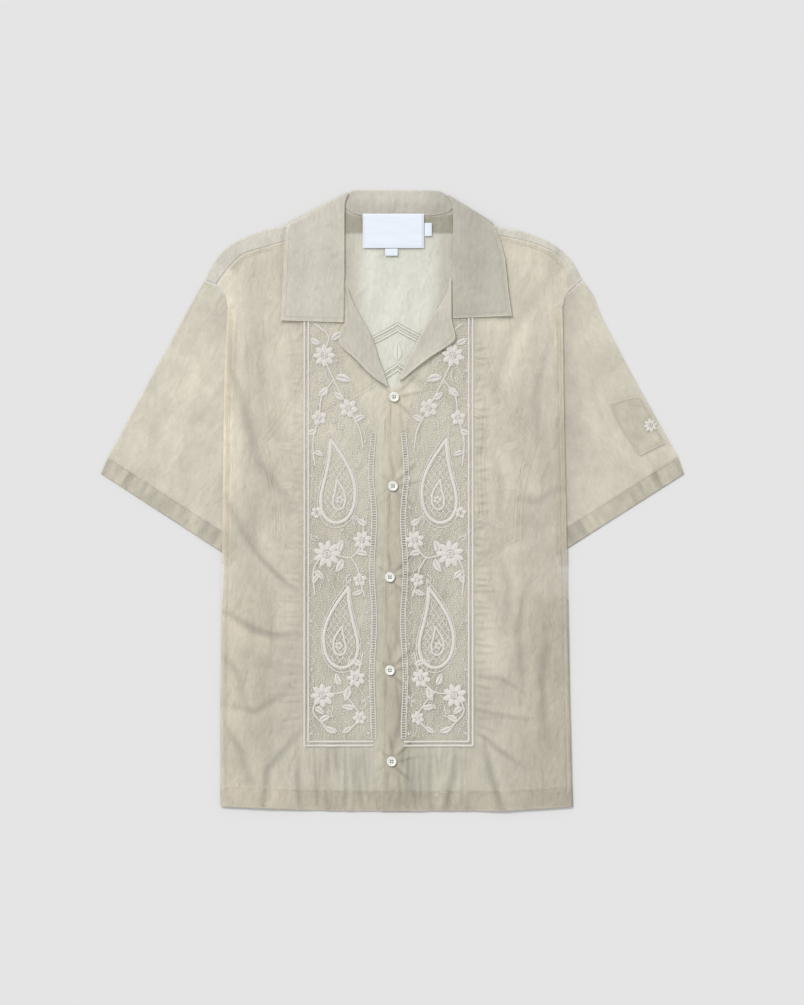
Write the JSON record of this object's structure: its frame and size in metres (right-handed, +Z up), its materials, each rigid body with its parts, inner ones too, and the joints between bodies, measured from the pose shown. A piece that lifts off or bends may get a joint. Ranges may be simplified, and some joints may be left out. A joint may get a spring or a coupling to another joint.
{
  "type": "short-sleeve shirt",
  "caption": "Loose short-sleeve shirt of sheer crinkled cloth with a camp collar, buttoned, embroidered down the fronts and laid flat with its front up.",
  "frame": {"origin": "middle of the laid garment's outline, on the surface that it rests on", "axes": "+Y from the hem to the collar, +X to the right as seen from above the front, +Z up out of the surface"},
  "size_m": [0.6772, 0.7203, 0.0068],
  "materials": {
    "front_cloth": "sheer crinkled nylon, soft sheen",
    "back_cloth": "sheer crinkled nylon, soft sheen",
    "sleeve_cloth": "sheer crinkled nylon, soft sheen",
    "collar_cloth": "two layers of sheer crinkled nylon, pressed",
    "label_satin": "white woven satin",
    "button_resin": "polished, slightly pearly"
  },
  "bodies": {
    "root": {"back": "back_cloth", "front_left": "front_cloth", "front_right": "front_cloth", "sleeve_left": "sleeve_cloth", "sleeve_right": "sleeve_cloth", "collar": "collar_cloth", "rever_left": "collar_cloth", "rever_right": "collar_cloth", "sleeve_pocket": "sleeve_cloth", "label_main": "label_satin", "label_size": "label_satin", "label_side": "label_satin", "button_1": "button_resin", "button_2": "button_resin", "button_3": "button_resin", "button_4": "button_resin", "button_5": "button_resin"}
  },
  "joints": []
}
